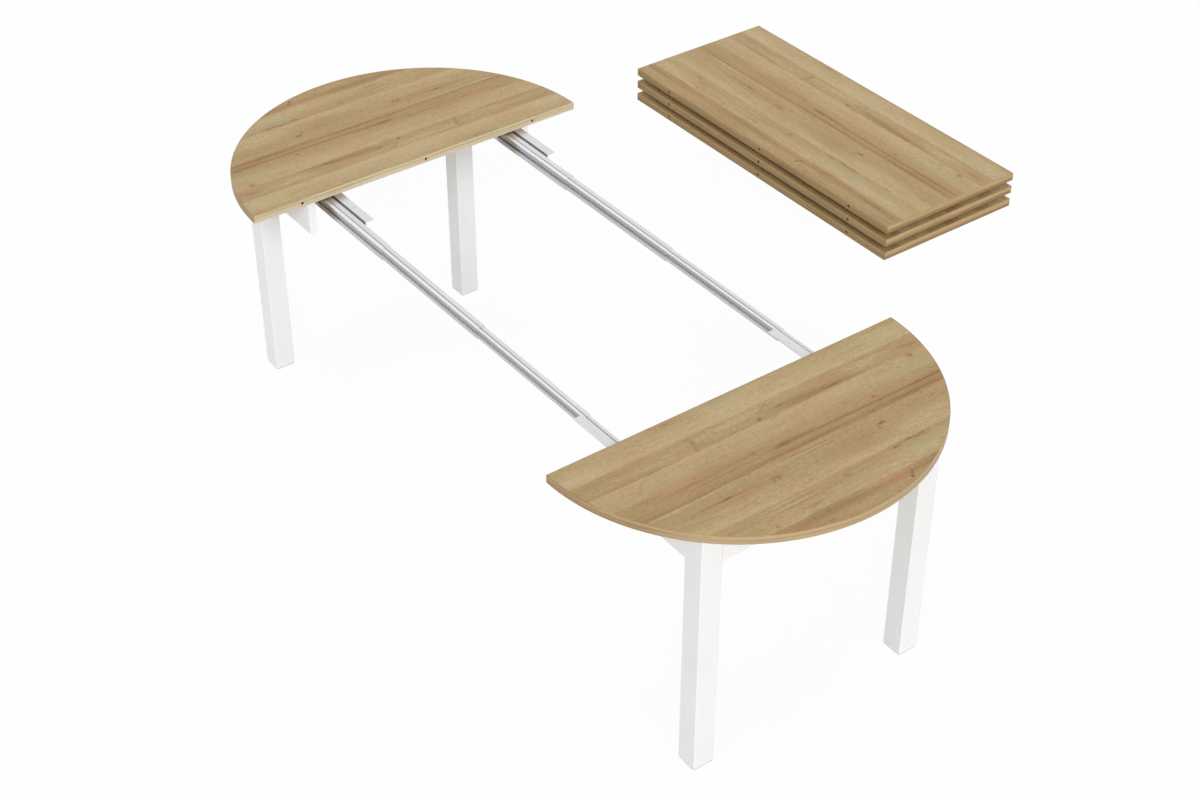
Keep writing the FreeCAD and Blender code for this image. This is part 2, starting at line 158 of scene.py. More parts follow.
def coat(material, names):
    for name in names:
        for slot in parts[name].material_slots:
            slot.material = material


# One printed oak sheet serves every board. Places on it are in millimetres, along the grain
# from its middle and across the grain from its first edge. Tones go from 0, pale, to 1, dark.
oakPrint = {
    "radius": 0.525,
    "drift": (1.6, 7.0, 0.012),      # slow bending of the lines: scales and reach
    "ripple": (9.0, 60.0, 0.005),
    # start, end, tone at each side
    "staves": [
        (0, 78, 0.34, 0.15), (78, 137, 0.37, 0.42), (137, 198, 0.21, 0.30),
        (198, 266, 0.40, 0.53), (266, 304, 0.38, 0.41), (304, 383, 0.40, 0.21),
        (383, 458, 0.40, 0.26), (458, 487, 0.54, 0.54), (487, 530, 0.42, 0.49),
    ],
    "staveEdge": 3.0,
    # along, across, half length, half breadth, tone added
    "streaks": [
        (170, 124, 160, 10, 0.26), (95, 112, 90, 8, 0.16), (-400, 94, 150, 7, 0.11),
        (-440, 131, 120, 5, 0.10), (-70, 96, 110, 20, -0.16), (80, 160, 60, 3, 0.09),
        (340, 106, 90, 20, -0.14), (-340, 118, 110, 14, -0.08), (-20, 40, 120, 26, -0.08),
        (-190, 14, 60, 14, 0.10), (450, 30, 90, 26, -0.08), (-480, 147, 60, 10, 0.08),
        (470, 165, 60, 30, 0.12), (-190, 190, 130, 16, 0.08), (190, 192, 70, 12, 0.10),
        (-280, 222, 120, 6, 0.22), (-130, 217, 100, 8, 0.14), (-10, 230, 90, 8, 0.20),
        (220, 235, 290, 5, 0.26), (430, 236, 130, 8, 0.20), (400, 257, 190, 8, 0.28),
        (20, 258, 260, 7, 0.18), (-300, 264, 260, 3.5, 0.22), (200, 247, 230, 4, -0.08),
        (-330, 272, 190, 2, -0.22), (-20, 283, 110, 2, -0.20), (-290, 307, 95, 4, 0.30),
        (-190, 320, 130, 12, 0.10), (150, 350, 110, 14, 0.12), (470, 374, 60, 12, 0.10),
        (-190, 308, 90, 4, 0.14), (100, 328, 130, 30, 0.13), (290, 350, 130, 25, -0.10),
        (10, 408, 130, 10, 0.10), (105, 393, 90, 3, 0.20), (225, 388, 55, 4, 0.20),
        (330, 432, 220, 22, -0.14), (-430, 430, 110, 26, -0.12), (-130, 474, 160, 12, 0.14),
        (130, 477, 170, 3, 0.18), (110, 464, 110, 8, -0.14), (380, 480, 110, 6, 0.10),
        (460, 478, 95, 4, 0.22), (-490, 478, 80, 8, 0.14), (-190, 495, 90, 12, 0.10),
        (-360, 432, 130, 12, 0.08), (-320, 408, 110, 8, 0.08), (10, 500, 90, 10, -0.08),
    ],
    "knots": [
        (-8, 128, 9, 7, 0.30), (450, 143, 13, 7, 0.34), (-190, 112, 11, 24, 0.12),
        (-25, 229, 26, 9, 0.18), (-112, 313, 20, 5, 0.30), (214, 306, 18, 7, 0.22),
        (-378, 398, 20, 6, 0.36), (-342, 416, 26, 7, 0.20), (20, 402, 12, 6, 0.22),
        (390, 382, 20, 4, 0.30), (65, 113, 16, 6, 0.20), (475, 112, 34, 10, 0.12),
        (-100, 219, 7, 9, 0.18), (268, 219, 11, 6, 0.16), (262, 390, 26, 8, 0.10),
    ],
    # fine dark and pale strokes round the knots and along the joints, as the streaks
    "strokes": [
        (-7, 130, 5, 5, 0.26), (-1, 123, 3, 4, 0.22), (26, 97, 11, 2.5, 0.24),
        (38, 92, 5, 3, 0.26), (16, 106, 8, 2.5, 0.18), (-32, 112, 20, 2, 0.16),
        (-86, 131, 16, 2.2, 0.24), (-128, 130, 30, 2, 0.12), (-196, 130, 4, 9, 0.18),
        (-188, 103, 5, 8, 0.18), (-330, 85, 32, 2, 0.20), (-440, 84, 50, 2, 0.16),
        (-330, 136, 130, 2, 0.14), (222, 127, 30, 3, 0.20), (292, 129, 40, 3.5, 0.18),
        (345, 88, 26, 2.2, 0.20), (460, 108, 24, 2.2, 0.20), (486, 116, 20, 2, 0.18),
        (452, 150, 6, 5, 0.26), (394, 170, 9, 3, 0.20), (268, 218, 6, 4, 0.20),
        (-125, 322, 2.6, 9, 0.30), (-108, 320, 2.6, 8, 0.30), (-246, 306, 14, 2.4, 0.30),
        (213, 303, 13, 3, 0.34), (199, 314, 2.6, 8, 0.28), (229, 308, 10, 2, 0.16),
        (20, 278, 120, 1.6, 0.20), (40, 289, 90, 1.6, 0.14), (-150, 392, 90, 1.6, -0.16),
        (-135, 399, 80, 1.6, 0.18), (-140, 406, 80, 1.6, -0.14), (-140, 413, 90, 1.8, 0.16),
        (224, 386, 13, 3, 0.26), (244, 393, 11, 2.4, 0.24), (266, 384, 13, 2, 0.22),
        (180, 394, 12, 3.5, 0.26), (290, 431, 13, 4, 0.18), (-220, 446, 3, 10, 0.20),
        (151, 476, 4, 6, 0.26), (145, 484, 4, 6, 0.32), (138, 492, 5, 6, 0.38),
        (-110, 501, 8, 4, 0.22), (-200, 236, 120, 1.6, 0.14), (330, 246, 160, 1.8, 0.14),
    ],
    # hue patches, as the streaks: above 0 redder, under 0 greener
    "hues": [
        (-430, 105, 130, 30, -0.8), (10, 25, 110, 26, -0.5), (-270, 28, 80, 24, -0.7),
        (337, 28, 60, 24, -0.8), (150, 60, 80, 20, 0.5), (-210, 121, 70, 14, 0.8),
        (180, 100, 110, 14, 0.4), (-440, 155, 90, 18, 0.3), (-180, 165, 150, 34, 0.3),
        (340, 165, 90, 24, 0.4), (440, 180, 70, 18, -0.25), (40, 180, 80, 22, -0.9),
        (-340, 182, 60, 14, -0.6), (-190, 214, 150, 16, 0.7), (60, 215, 120, 16, 0.4),
        (290, 230, 130, 24, 0.6), (0, 248, 140, 14, 0.5), (-420, 396, 60, 20, -0.7),
        (-495, 400, 50, 18, -0.9), (-140, 400, 80, 20, -1.1), (50, 404, 90, 24, -0.9),
        (230, 412, 130, 24, -0.8), (400, 400, 90, 22, -0.8), (110, 345, 160, 34, 0.5),
        (-190, 325, 110, 16, 0.6), (-340, 435, 90, 20, 0.6), (220, 438, 90, 16, -0.4),
        (-230, 474, 80, 14, 0.8), (110, 474, 70, 14, 1.2), (-30, 475, 70, 14, 0.5),
        (-140, 505, 90, 16, 0.9),
    ],
    # noise drawn out along the grain: scale along, scale across, roughness, tone share
    "clouds": (5.0, 22.0, 0.6, 0.22),
    "strands": (7.0, 95.0, 0.6, 0.28),
    "fibres": (26.0, 330.0, 0.65, 0.30),
    "mottle": (75.0, 120.0, 0.6, 0.30),
    "specks": (85.0, 340.0, 0.75, 0.90),
    "veins": (2.6, 34.0, 12.0, 0.16),     # scales, lines per step, tone share
    "veinLine": 0.10,
    "veinClouds": (0.35, 0.60),           # the veins show where the clouds are darker than this
    "frays": (1.3, 0.9, 1.2),             # how far strands, fibres and mottle fray a spot's edge
    # full inside, gone outside, share of the fray, weight
    "spotEdges": {
        "streaks": (0.0, 1.3, 1.0, 1.0),
        "knots": (0.1, 1.35, 0.7, 1.0),
        "strokes": (0.4, 1.25, 0.4, 1.3),
    },
    "woodTones": [
        (0.0, tone(196, 176, 137)), (0.2, tone(183, 160, 119)), (0.4, tone(168, 142, 99)),
        (0.6, tone(154, 123, 79)), (0.8, tone(134, 101, 57)), (1.0, tone(94, 68, 38)),
    ],
    "green": tone(166, 159, 116),
    "red": tone(178, 131, 92),
    "tintShare": 0.50,
    "tintScale": (4.0, 14.0, 0.0),
    "tintReach": (3.0, 2.0, 1.4),         # weight of the slow tint, fray and outside of a hue patch
    "tintFade": (0.1, 1.0),
    "coreHalf": (0.0106, 0.0102),         # half the board's core: print outside, chipboard inside
    "chipScale": (420.0, 420.0, 900.0),
    "chipRelief": 4.0,
    "chipRoughness": 0.35,
    # brown chipboard, painted darker still as the shade inside the bores where the core shows
    "boreShadedChipboard": [(0.3, tone(84, 62, 38)), (0.5, tone(110, 84, 54)), (0.7, tone(128, 102, 68))],
    "gloss": (0.50, 0.12),
    "relief": 0.00006,
}


def staveStops(width):
    edge = oakPrint["staveEdge"]
    stops = []
    for start, end, first, last in oakPrint["staves"]:
        stops.append(((start + edge) / width, (first, first, first, 1.0)))
        stops.append(((end - edge) / width, (last, last, last, 1.0)))
    return stops


def spotShares(sheet, spot, fray, spots, start, end):
    # each spot's share fades with the distance from its middle, counted in its own half sizes
    total = 0.0
    for middle, line, reach, breadth, strength in spots:
        scale = (1000 / reach, 1000 / breadth, 0.0)
        shift = (-middle / reach, -line / breadth, 0.0)
        distance = sheet.length(sheet.stretch(spot, scale, shift)) + fray
        total = sheet.fade(distance, start, end, strength, 0.0) + total
    return total


def grainLayer(sheet, spot, name, shift):
    along, across, roughness, share = oakPrint[name]
    return sheet.noise(sheet.stretch(spot, (along, across, 0.0), shift), 4.0, roughness), share


def oakTone(sheet, along, across):
    # darkness: the stave's tone, plus streaks and knots, plus three noises drawn out along the
    # grain and two round ones, plus veins where a slow noise passes evenly spaced levels
    straight = sheet.join(along, across)
    for name, shift in (("drift", 0.0), ("ripple", 3.1)):
        slow, quick, reach = oakPrint[name]
        bend = sheet.noise(sheet.stretch(straight, (slow, quick, 0.0), (shift, shift, 0.0)))
        across = across + (bend - 0.5) * reach
    spot = sheet.join(along, across)
    clouds, cloudShare = grainLayer(sheet, spot, "clouds", (1.0, 6.0, 0.0))
    strands, strandShare = grainLayer(sheet, spot, "strands", (5.0, 2.0, 0.0))
    fibres, fibreShare = grainLayer(sheet, spot, "fibres", (0.0, 0.0, 0.0))
    mottle, mottleShare = grainLayer(sheet, spot, "mottle", (2.0, 7.0, 0.0))
    specks, speckShare = grainLayer(sheet, spot, "specks", (8.0, 3.0, 0.0))
    width = oakPrint["staves"][-1][1]
    total = sheet.ramp(across * (1000 / width), staveStops(width))
    strandFray, fibreFray, mottleFray = oakPrint["frays"]
    fray = (strands - 0.5) * strandFray + (fibres - 0.5) * fibreFray + (mottle - 0.5) * mottleFray
    for kind, (full, gone, share, weight) in oakPrint["spotEdges"].items():
        total = total + spotShares(sheet, spot, fray * share, oakPrint[kind], full, gone) * weight
    total = total + (clouds - 0.5) * cloudShare + (strands - 0.5) * strandShare
    total = total + (fibres - 0.5) * fibreShare + (mottle - 0.5) * mottleShare
    total = total + (specks - 0.5) * speckShare
    along, across, lines, share = oakPrint["veins"]
    field = sheet.noise(sheet.stretch(spot, (along, across, 0.0), (4.0, 9.0, 0.0)), 1.0)
    ring = sheet.maths("PINGPONG", field * lines, 0.5)
    vein = sheet.fade(ring, oakPrint["veinLine"], 0.0, 0.0, share)
    return total + vein * sheet.fade(clouds, *oakPrint["veinClouds"]), spot, fibres


def printedBoard(name, along, across, middle):
    # along and across are (axis, offset, direction), middle is the height of the board's core
    material, sheet = newFinish(name)
    place = sheet.split(sheet.place())
    grainWay = (place[along[0]] - along[1]) * along[2]
    crossWay = (place[across[0]] - across[1]) * across[2]
    dark, spot, fibres = oakTone(sheet, grainWay, crossWay)
    wood = sheet.ramp(dark, oakPrint["woodTones"])
    tint = sheet.noise(sheet.stretch(spot, oakPrint["tintScale"], (7.0, 4.0, 0.0)), 3.0)
    weight, fray, outside = oakPrint["tintReach"]
    hue = (tint - 0.5) * weight + spotShares(sheet, spot, (tint - 0.5) * fray, oakPrint["hues"], 0.0, outside)
    first, full = oakPrint["tintFade"]
    greener = sheet.fade(hue, first, -full, 0.0, oakPrint["tintShare"])
    redder = sheet.fade(hue, -first, full, 0.0, oakPrint["tintShare"])
    wood = sheet.mix(redder, sheet.mix(greener, wood, oakPrint["green"]), oakPrint["red"])
    chips = sheet.noise(sheet.stretch(sheet.place(), oakPrint["chipScale"]), 3.0, 0.7)
    core = sheet.ramp(chips, oakPrint["boreShadedChipboard"])
    inside = sheet.fade(abs(place[2] - middle), *oakPrint["coreHalf"])
    gloss, spread = oakPrint["gloss"]
    sheet.shader({
        "Base Color": sheet.mix(inside, wood, core),
        "Roughness": (fibres - 0.5) * spread + inside * oakPrint["chipRoughness"] + gloss,
        "Normal": sheet.bump(fibres + inside * chips * oakPrint["chipRelief"], 0.5, oakPrint["relief"]),
        "Specular IOR Level": 0.4,
    })
    return material


halfMiddle = (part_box("near_leg_left")[0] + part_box("near_leg_right")[1]).y / 2
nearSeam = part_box("near_seam_edging")[0].x
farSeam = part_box("far_seam_edging")[1].x
boardLow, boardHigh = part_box("near_top_board")
topMiddle = (boardLow.z + boardHigh.z) / 2
coat(printedBoard("nearOakBoard", (1, halfMiddle, 1), (0, nearSeam, 1), topMiddle), ["near_top_board"])
coat(printedBoard("farOakBoard", (1, halfMiddle, -1), (0, farSeam, -1), topMiddle), ["far_top_board"])
for number in (1, 2, 3):
    name = "leaf_%d_" % number
    leafLow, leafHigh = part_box(name + "long_edgings")
    shrink = oakPrint["radius"] / (leafHigh.y - leafLow.y)
    leafMiddle = (leafLow.x + leafHigh.x) / 2
    finish = printedBoard("leafOakBoard%d" % number, (0, leafMiddle, 1), (1, leafHigh.y, -shrink),
                          (leafLow.z + leafHigh.z) / 2)
    coat(finish, [name + "board"])
print("boards printed")


edgeBands = {   # pale, honey and brown of each band; lines are (height below the top, half width, tone)
    "rim": {
        "tones": (tone(195, 170, 129), tone(178, 152, 112), tone(147, 118, 79)), "depth": 0.36,
        "lines": [(0.0, 0.0030, 0.24), (0.0110, 0.0035, 0.24)], "foot": 0.34, "shade": 0.20,
        "footTone": tone(190, 174, 148), "footShare": 0.35,
    },
    "seam": {
        "tones": (tone(208, 191, 158), tone(192, 173, 137), tone(160, 138, 102)), "depth": 0.34,
        "lines": [(0.0065, 0.0025, 0.26), (0.0160, 0.0030, 0.20)], "foot": 0.0, "shade": 0.0,
        "footTone": tone(216, 208, 192), "footShare": 0.5,
    },
    "leafLong": {
        # tones painted darker than the ends' as the shade on the long edges, which are lit less
        "tones": (tone(171, 144, 99), tone(153, 126, 81), tone(127, 99, 58)), "depth": 0.36,
        "lines": [(0.0085, 0.0032, 0.16)], "foot": 0.42, "shade": 0.0, "crest": 0.9,
        "footTone": tone(134, 104, 60), "footShare": 0.0,
    },
    "leafEnd": {
        "tones": (tone(190, 163, 119), tone(172, 143, 99), tone(140, 109, 68)), "depth": 0.36,
        "lines": [(0.0, 0.0035, 0.18), (0.0150, 0.0040, 0.16)], "foot": 0.70, "shade": 0.0,
        "footTone": tone(140, 109, 68), "footShare": 0.0,
    },
}
edgeBands["nearSeam"] = dict(edgeBands["seam"], lines=[(0.0, 0.0018, 0.7), *edgeBands["seam"]["lines"]])
bandPrint = {   # what every band shares
    "fine": (12.0, 900.0, 0.8),      # scales along and over the band, tone share
    "broad": (6.0, 160.0, 1.0),
    "specks": (220.0, 420.0, 0.5),
    "footFade": (0.004, 0.022),      # heights below the top
    "footToneFade": (0.008, 0.020),
    "crestFade": (0.0018, 0.0006),
    "crestEnd": 0.01,                # how far behind the back line the dark edge is full
    "paintedShadeRun": (-0.30, -0.56),      # along the rim, from its middle
    "footToneRun": (-0.60, -0.46),
    "stops": (0.1, 0.5, 1.0),
    "gloss": (0.5, 0.1),
    "relief": 0.00005,
}


def bandFinish(kind, name, lengthOf, top, back=None):
    # thin lines along the band: noise drawn out along its length and fine over its height,
    # plus fixed lines and a foot that darkens downwards
    band = edgeBands[kind]
    material, sheet = newFinish(name)
    x, y, z = sheet.split(sheet.place())
    run = lengthOf(sheet, x, y)
    spot = sheet.join(run, z)
    fine = sheet.noise(sheet.stretch(spot, bandPrint["fine"][:2] + (0.0,)), 3.0, 0.6)
    broad = sheet.noise(sheet.stretch(spot, bandPrint["broad"][:2] + (0.0,), (2.0, 9.0, 0.0)), 2.0)
    specks = sheet.noise(sheet.stretch(spot, bandPrint["specks"][:2] + (0.0,), (1.0, 3.0, 0.0)), 2.0)
    below = top - z
    shade = (fine - 0.5) * bandPrint["fine"][2] + (broad - 0.5) * bandPrint["broad"][2]
    shade = shade + (specks - 0.5) * bandPrint["specks"][2] + band["depth"]
    for height, width, strength in band["lines"]:
        shade = shade + sheet.fade(abs(below - height), width, 0.0, 0.0, strength)
    shade = shade + sheet.fade(below, *bandPrint["footFade"], 0.0, band["foot"])
    if back is not None:  # the strip behind the back line has a dark upper edge
        crest = sheet.fade(below, *bandPrint["crestFade"], 0.0, band["crest"])
        shade = shade + crest * sheet.fade(y, back, back + bandPrint["crestEnd"])
    foot = sheet.fade(below, *bandPrint["footToneFade"], 0.0, band["footShare"])
    if band["shade"]:  # the rim's end at -Y is painted browner as shade, and its foot has less of the foot tone
        shade = shade + sheet.fade(run, *bandPrint["paintedShadeRun"], 0.0, band["shade"])
        foot = foot * sheet.fade(run, *bandPrint["footToneRun"])
    foil = sheet.ramp(shade, list(zip(bandPrint["stops"], band["tones"])))
    gloss, spread = bandPrint["gloss"]
    sheet.shader({
        "Base Color": sheet.mix(foot, foil, band["footTone"]),
        "Roughness": (fine - 0.5) * spread + gloss,
        "Normal": sheet.bump(fine, 0.4, bandPrint["relief"]),
        "Specular IOR Level": 0.35,
    })
    return material


def alongArc(seam):
    def arc(sheet, x, y):  # angle round the middle of the seam, times the radius
        return sheet.maths("ARCTAN2", y - halfMiddle, abs(x - seam)) * oakPrint["radius"]
    return arc


def alongY(sheet, x, y):
    return y


def alongX(sheet, x, y):
    return x


top = boardHigh.z
coat(bandFinish("rim", "nearRimBand", alongArc(nearSeam), top), ["near_curved_edging"])
coat(bandFinish("rim", "farRimBand", alongArc(farSeam), top), ["far_curved_edging"])
coat(bandFinish("seam", "farSeamBand", alongY, top), ["far_seam_edging"])
coat(bandFinish("nearSeam", "nearSeamBand", alongY, top), ["near_seam_edging"])
for number in (1, 2, 3):
    name = "leaf_%d_" % number
    leafLow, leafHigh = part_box(name + "board")
    backLine = (leafLow.y + 3 * leafHigh.y) / 4
    longBand = bandFinish("leafLong", "leafLongBand%d" % number, alongX, leafHigh.z, backLine)
    coat(longBand, [name + "long_edgings"])
    coat(bandFinish("leafEnd", "leafEndBand%d" % number, alongY, leafHigh.z), [name + "end_edgings"])
print("edges banded")


whiteLacquer = {
    "paint": [(0.25, tone(233, 233, 232)), (0.75, tone(240, 240, 240))],
    "gloss": (0.34, 0.10),
    "cloudScale": (9.0, 9.0, 5.0),
    "peelScale": (520.0, 520.0, 520.0),
    "along": 8.0,                    # scales of the sanding lines, along and across the piece
    "across": 300.0,
    "peel": 0.00005,
}


def lacquerFinish(name, axis):
    # sprayed coat: orange peel of about two millimetres, over faint sanding lines along the axis
    material, sheet = newFinish(name)
    place = sheet.place()
    brushing = [whiteLacquer["across"]] * 3
    brushing[axis] = whiteLacquer["along"]
    cloud = sheet.noise(sheet.stretch(place, whiteLacquer["cloudScale"]), 2.0)
    peel = sheet.noise(sheet.stretch(place, whiteLacquer["peelScale"]), 2.0, 0.4)
    sanding = sheet.noise(sheet.stretch(place, brushing), 3.0, 0.6)
    gloss, spread = whiteLacquer["gloss"]
    sheet.shader({
        "Base Color": sheet.ramp(cloud * 0.7 + sanding * 0.3, whiteLacquer["paint"]),
        "Roughness": (cloud - 0.5) * spread + (sanding - 0.5) * spread + gloss,
        "Normal": sheet.bump(peel + sanding * 0.8, 0.35, whiteLacquer["peel"]),
    })
    return material


legs = [name for name in parts if "_leg_" in name]
sideAprons = [name for name in parts if "_side_apron_" in name]
endAprons = [name for name in parts if name.endswith("_end_apron")]
coat(lacquerFinish("legLacquer", 2), legs)
coat(lacquerFinish("sideApronLacquer", 0), sideAprons)
coat(lacquerFinish("endApronLacquer", 1), endAprons)
print("lacquered:", len(legs) + len(sideAprons) + len(endAprons))


runnerSteel = {
    "zinc": [(0.25, tone(206, 207, 209)), (0.75, tone(228, 229, 230))],
    "bright": tone(232, 232, 234),   # painted highlight on the ridge beside the groove
    "grooveShade": tone(166, 167, 170),     # floor of the groove, painted darker as the shade in the groove
    "upperLipShade": tone(172, 173, 176),      # upper lip of the mouth, painted darker as shade
    "foot": tone(200, 201, 203),     # lower lip
    "inner": tone(226, 227, 229),    # lighter, matt zinc inside the channels, painted to lift the shade there
    "mouthShade": tone(150, 151, 154),   # dark line painted along the front of the innermost bar, as the shade in the mouth
    "grooveLine": -0.0023,           # from the runner's centre line
    "groove": (0.0021, 0.0017),      # half width: outside it, and where the tone is full
    "upperFace": (0.0014, 0.0010),   # depth of the upper face's edge
    "ridge": (-0.0044, -0.0052),
    "stripeHalf": (0.0048, 0.0044),
    "mouth": (0.0048, 0.0052),       # half height of the mouth, and where the lower lip is full
    "lipEdge": 0.0001,
    "skin": 0.0007,                  # depth that counts as outside
    "skinFades": (0.8, 1.2, 1.3),    # shares of the skin at the front, at the sides and in height
    "metal": 0.45,
    "gloss": (0.38, 0.10),
    "innerRoughness": 0.2,
    "drawLines": (2.0, 700.0, 700.0),
    "patches": (14.0, 60.0, 60.0),
    "relief": 0.00001,
    "slot": tone(172, 172, 175),     # painted shade on the walls of the slot between the channel and its far plate
    "slotWidth": (0.0001, 0.0047),   # its soft edge and its width
    "slotBelow": (0.0044, 0.0040),   # heights over the channel
    "seamReflection": tone(190, 176, 160),   # painted brown reflection of the far board and its shade, beside the far seam
    "reflectionTop": (0.050, 0.005),     # distances from the seam: untinted, and fully tinted
    "reflectionMouth": (0.090, 0.035),
    "reflectionBack": (-0.050, -0.020),
}


def runnerFinish(name, centre, half, top, bottom, seam=None):
    # rolled strip with draw lines; painted shade on the groove's floor, the upper lip, the mouth's front
    # and the slot, a painted highlight on the ridge, a lighter matt inside painted to lift the channel's
    # shade, and a painted brown reflection and shade of the board beside the seam
    material, sheet = newFinish(name)
    place = sheet.place()
    x, y, z = sheet.split(place)
    lines = sheet.noise(sheet.stretch(place, runnerSteel["drawLines"]), 2.0, 0.6)
    patches = sheet.noise(sheet.stretch(place, runnerSteel["patches"]), 2.0)
    side = y - centre
    skin = runnerSteel["skin"]
    frontFade, sideFade, heightFade = runnerSteel["skinFades"]
    groove = sheet.fade(abs(side - runnerSteel["grooveLine"]), *runnerSteel["groove"])
    upper = sheet.fade(abs(z - top), *runnerSteel["upperFace"])
    ridge = upper * sheet.fade(side, *runnerSteel["ridge"])
    middle = (top + bottom) / 2
    tall = (top - bottom) / 2
    mouth, lowerLip = runnerSteel["mouth"]
    front = sheet.fade(abs(side + half), skin, skin * frontFade)
    upperLipShade = front * sheet.fade(abs(z - middle - tall / 2), tall / 2 + runnerSteel["lipEdge"], tall / 2)
    foot = front * sheet.fade(z, middle - mouth, middle - lowerLip)
    within = sheet.fade(abs(side), half - skin, half - skin * sideFade)
    within = within * sheet.fade(abs(z - middle), tall - skin, tall - skin * heightFade)
    zinc = sheet.ramp(lines * 0.6 + patches * 0.4, runnerSteel["zinc"])
    # painted light inside the channel, lifting its shade
    zinc = sheet.mix(within, zinc, runnerSteel["inner"])
    # painted shade on the upper lip
    zinc = sheet.mix(upperLipShade, zinc, runnerSteel["upperLipShade"])
    zinc = sheet.mix(foot, zinc, runnerSteel["foot"])
    # painted shade along the front at the height of the mouth
    mouthShade = front * sheet.fade(abs(z - middle), *runnerSteel["stripeHalf"])
    zinc = sheet.mix(mouthShade, zinc, runnerSteel["mouthShade"])
    # painted highlight on the ridge
    zinc = sheet.mix(ridge, zinc, runnerSteel["bright"])
    # painted shade on the groove's floor
    zinc = sheet.mix(groove * upper, zinc, runnerSteel["grooveShade"])
    if seam is not None:
        edge, width = runnerSteel["slotWidth"]
        # painted shade in the slot
        slot = sheet.fade(side, half + edge, half + edge * 2)
        slot = slot * sheet.fade(side, half + width, half + width - edge)
        slot = slot * sheet.fade(z - top, *runnerSteel["slotBelow"])
        zinc = sheet.mix(slot, zinc, runnerSteel["slot"])
        # painted reflection and shade of the far board beside the seam
        upon = sheet.fade(x - seam, *runnerSteel["reflectionTop"])
        deep = sheet.fade(x - seam, *runnerSteel["reflectionMouth"])
        reflection = upon + (deep - upon) * (front + within)
        reflection = reflection * sheet.fade(x - seam, *runnerSteel["reflectionBack"])
        zinc = sheet.mix(reflection, zinc, runnerSteel["seamReflection"], "MULTIPLY")
    gloss, spread = runnerSteel["gloss"]
    sheet.shader({
        "Base Color": zinc,
        "Metallic": (1.0 - within) * runnerSteel["metal"],
        "Roughness": (lines - 0.5) * spread + within * runnerSteel["innerRoughness"] + gloss,
        "Normal": sheet.bump(lines, 0.4, runnerSteel["relief"]),
    })
    return material


for side in ("left", "right"):
    slideLow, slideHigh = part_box("first_slide_" + side)
    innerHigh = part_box("second_slide_" + side)[1]
    step = slideHigh.z - innerHigh.z
    centre = (slideLow.y + slideHigh.y) / 2
    for index, member in enumerate(("far_rail_", "first_slide_", "second_slide_", "near_rail_")):
        grow = step * (1 - index)
        name = member.replace("_", "") + side.title() + "Zinc"
        half = slideHigh.y - centre + grow
        reflectingSeam = farSeam if member == "far_rail_" else None
        finish = runnerFinish(name, centre, half, slideHigh.z + grow, slideLow.z - grow, reflectingSeam)
        coat(finish, [member + side])
print("runners finished")


boltZinc = {
    "zinc": [(0.3, tone(186, 189, 194)), (0.7, tone(214, 214, 210))],
    "patches": (340.0, 340.0, 340.0),
    "scratches": (90.0, 2200.0, 1400.0),
    "gloss": (0.28, 0.2),
    "relief": 0.00004,
}


def hardwareFinish(name):
    # bright plating: small cloudy patches, a little rougher where they are dull
    material, sheet = newFinish(name)
    place = sheet.place()
    patches = sheet.noise(sheet.stretch(place, boltZinc["patches"]), 3.0, 0.6)
    scratch = sheet.noise(sheet.stretch(place, boltZinc["scratches"]), 2.0)
    gloss, spread = boltZinc["gloss"]
    sheet.shader({
        "Base Color": sheet.ramp(patches, boltZinc["zinc"]),
        "Metallic": 1.0,
        "Roughness": (patches - 0.5) * spread + gloss,
        "Normal": sheet.bump(scratch + patches, 0.3, boltZinc["relief"]),
    })
    return material


padFelt = {
    "wool": [(0.3, tone(168, 163, 154)), (0.7, tone(206, 202, 194))],
    "fine": (2100.0, 2100.0, 2100.0),
    "coarse": (240.0, 240.0, 240.0),
    "gloss": (0.92, 0.1),
    "relief": 0.0003,
    "sheen": 0.3,
}


def feltFinish(name):
    # matted fibres: two noises, one fine and one coarse
    material, sheet = newFinish(name)
    place = sheet.place()
    fine = sheet.noise(sheet.stretch(place, padFelt["fine"]), 4.0, 0.7)
    coarse = sheet.noise(sheet.stretch(place, padFelt["coarse"]), 2.0)
    gloss, spread = padFelt["gloss"]
    sheet.shader({
        "Base Color": sheet.ramp(fine * 0.6 + coarse * 0.4, padFelt["wool"]),
        "Roughness": (fine - 0.5) * spread + gloss,
        "Normal": sheet.bump(fine, 0.9, padFelt["relief"]),
        "Sheen Weight": padFelt["sheen"],
    })
    return material


pads = [name for name in parts if name.endswith("foot_pads")]
fixings = ("screws", "nuts", "bolts", "stops")
hardware = [name for name in parts
            if name.endswith(fixings) or "_stop_" in name or "_corner_bracket_" in name]
hardwareZinc = hardwareFinish("hardwareZinc")
coat(hardwareZinc, hardware)
coat(feltFinish("padFelt"), pads)
print("hardware:", len(hardware), "pads:", len(pads))


# round bars built as grids of angle and length
sharpEdge = math.radians(35)


